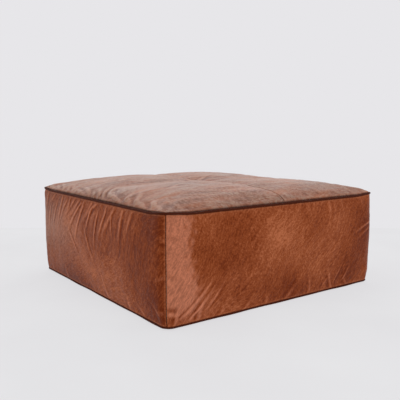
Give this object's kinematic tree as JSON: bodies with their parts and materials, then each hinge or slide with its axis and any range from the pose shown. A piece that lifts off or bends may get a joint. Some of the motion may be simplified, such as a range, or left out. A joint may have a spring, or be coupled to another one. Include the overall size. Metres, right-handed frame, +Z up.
{
  "type": "moroccan leather pouf",
  "caption": "Large low square floor pouf in oiled tan leather, with a crowned cross-seamed top, dark corded piping, a zipped base and a lined foam core.",
  "frame": {"origin": "on the floor under the middle of the base", "axes": "+Z up, the zip runs along X, and the front side faces -Y"},
  "size_m": [0.914, 0.914, 0.3766],
  "materials": {
    "cover_leather": "semi-gloss oiled pull-up leather, cloudy tan to cognac, fine grain",
    "piping_leather": "dark brown satin leather sleeve",
    "piping_cord": "natural cotton cord",
    "thread": "waxed dark brown thread",
    "zip_tape": "woven dark brown tape",
    "zip_metal": "aged satin brass",
    "calico": "plain unbleached calico",
    "foam": "open-cell polyurethane foam, cream",
    "wadding": "white polyester wadding"
  },
  "bodies": {
    "pouf": {"top_panel_front_left": "cover_leather", "top_panel_front_right": "cover_leather", "top_panel_back_right": "cover_leather", "top_panel_back_left": "cover_leather", "side_panel_front": "cover_leather", "side_panel_right": "cover_leather", "side_panel_back": "cover_leather", "side_panel_left": "cover_leather", "base_panel_front": "cover_leather", "base_panel_back": "cover_leather", "top_piping_sleeve": "piping_leather", "base_piping_sleeve": "piping_leather", "top_piping_cord": "piping_cord", "base_piping_cord": "piping_cord", "top_seam_thread_long": "thread", "top_seam_thread_front": "thread", "top_seam_thread_back": "thread", "corner_seam_thread_front_left": "thread", "corner_seam_thread_front_right": "thread", "corner_seam_thread_back_right": "thread", "corner_seam_thread_back_left": "thread", "top_edge_seam_thread": "thread", "base_edge_seam_thread": "thread", "base_seam_thread_left": "thread", "base_seam_thread_right": "thread", "zip_stitch_front": "thread", "zip_stitch_back": "thread", "zip_tape_front": "zip_tape", "zip_tape_back": "zip_tape", "zip_row_front": "zip_metal", "zip_row_back": "zip_metal", "zip_stop_left": "zip_metal", "zip_stop_right": "zip_metal", "liner_top": "calico", "liner_band": "calico", "liner_base": "calico", "foam_core_lower": "foam", "foam_core_upper": "foam", "wadding_pad": "wadding"},
    "zip_slider": {"zip_slider": "zip_metal"},
    "zip_pull_tab": {"zip_pull_tab": "zip_metal"}
  },
  "joints": [
    {"name": "zip_slide", "type": "slide", "parent": "pouf", "child": "zip_slider", "axis": [1, 0, 0], "range_m": [0, 0.589]},
    {"name": "pull_tab_swing", "type": "hinge", "parent": "zip_slider", "child": "zip_pull_tab", "pos_m": [-0.2947, 0, 0.0061], "axis": [0, 1, 0], "range_deg": [0, 170]}
  ]
}
